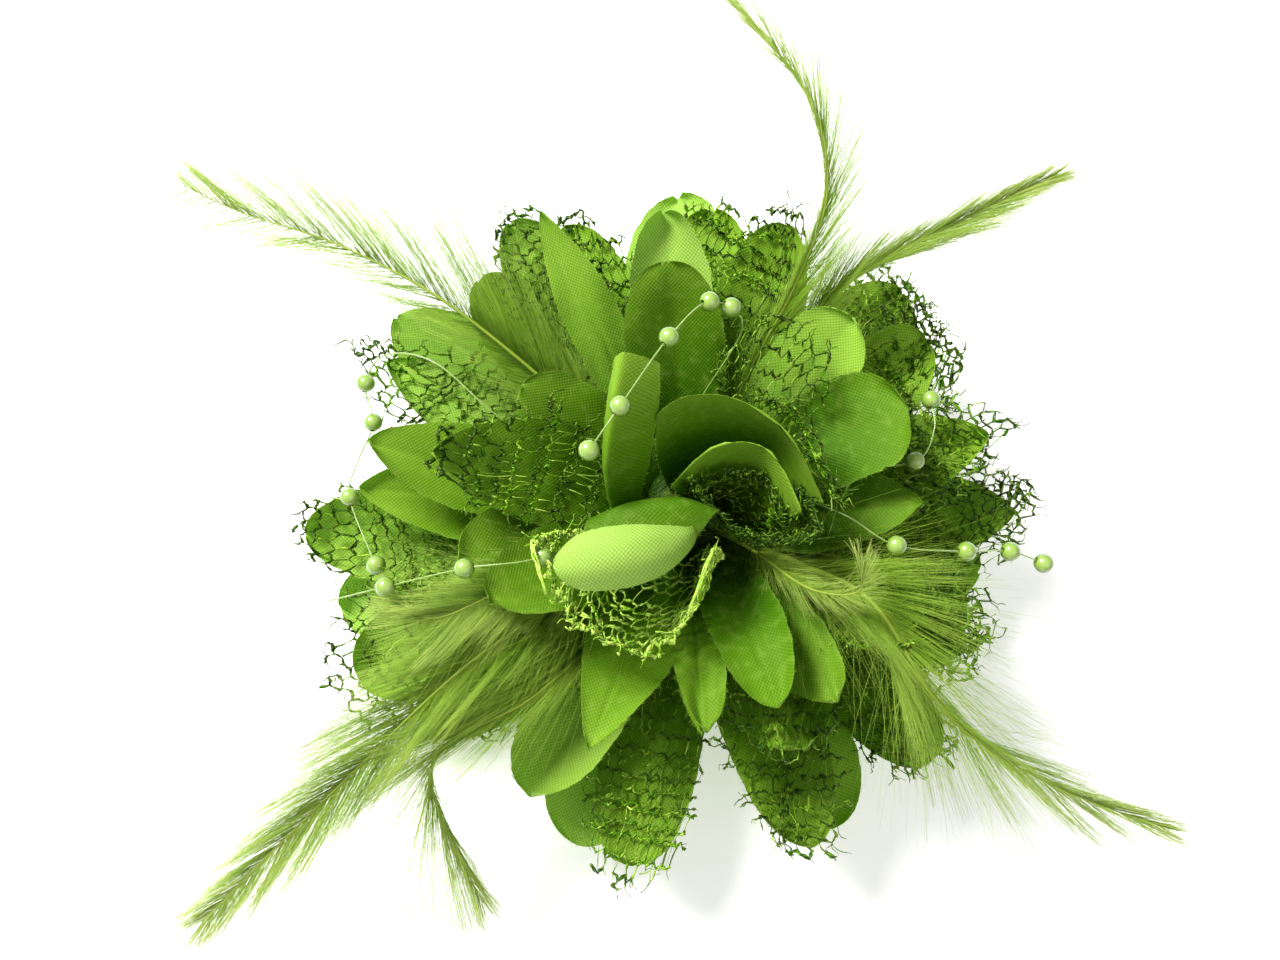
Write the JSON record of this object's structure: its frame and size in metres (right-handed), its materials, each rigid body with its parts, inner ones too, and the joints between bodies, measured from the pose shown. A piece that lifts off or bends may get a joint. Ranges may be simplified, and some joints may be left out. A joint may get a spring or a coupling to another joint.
{
  "type": "fascinator headpiece",
  "caption": "Fabric flower fascinator: layered satin and net petals, feathers and pearl bead strands on a felt disc with a hair clip and a brooch pin.",
  "frame": {"origin": "centre of the felt disc's back face", "axes": "+Z out of the face of the flower, +Y towards the top of the flower as worn or pictured, +X to its right; the clip and the brooch pin lie along X behind the disc"},
  "size_m": [0.1794, 0.1627, 0.0648],
  "materials": {
    "satin": "lime green woven satin with a soft sheen",
    "net": "open net of crinkled shiny green yarn",
    "feather": "dyed hackle feather, matt with fine barbs",
    "pearl": "pearl coating in light green",
    "bead_thread": "pale monofilament",
    "felt": "dense green felt",
    "glue": "set hot-melt glue, milky",
    "stud": "dark green moulded plastic",
    "stitch_thread": "sewing thread",
    "spring_wire": "bright spring wire",
    "nickel": "nickel-plated sheet steel, lightly scratched"
  },
  "bodies": {
    "flower": {"backing_felt": "felt", "glue_bed": "glue", "layer_glue": "glue", "centre_stud": "stud", "stud_cap": "stud", "feather_glue": "glue", "satin_layer_1": "satin", "satin_layer_2": "satin", "satin_layer_3": "satin", "satin_layer_4": "satin", "satin_layer_5": "satin", "satin_layer_6": "satin", "satin_layer_7": "satin", "satin_layer_8": "satin", "net_layer_2": "net", "net_layer_3": "net", "net_layer_4": "net", "net_layer_5": "net", "net_layer_7": "net", "net_layer_8": "net", "feather_upper_left": "feather", "feather_top": "feather", "feather_upper_right": "feather", "feather_lower_left": "feather", "feather_left_short": "feather", "feather_lower_drop": "feather", "feather_lower_right": "feather", "feather_centre_curl": "feather", "thread_top": "bead_thread", "thread_left": "bead_thread", "thread_lower_left": "bead_thread", "thread_right": "bead_thread", "thread_right_short": "bead_thread", "pearls_top": "pearl", "pearls_left": "pearl", "pearls_lower_left": "pearl", "pearls_right": "pearl", "pearls_right_short": "pearl", "stitches": "stitch_thread", "clip_base_arm": "nickel", "clip_hinge_pin": "nickel", "clip_spring": "spring_wire", "clip_grip_felt": "felt", "brooch_bar": "nickel", "brooch_rivet": "nickel", "brooch_catch": "nickel"},
    "clip_moving_arm": {"clip_moving_arm": "nickel"},
    "brooch_needle": {"brooch_needle": "nickel"}
  },
  "joints": [
    {"name": "clip_jaw", "type": "hinge", "parent": "flower", "child": "clip_moving_arm", "pos_m": [-0.009, -0.008, -0.0036], "axis": [0, 1, 0], "range_deg": [0, 22], "stiffness_Nm_per_rad": 0.02, "deforming": ["clip_spring"]},
    {"name": "brooch_hinge", "type": "hinge", "parent": "flower", "child": "brooch_needle", "pos_m": [-0.012, 0.011, -0.0024], "axis": [0, 1, 0], "range_deg": [0, 75]}
  ]
}
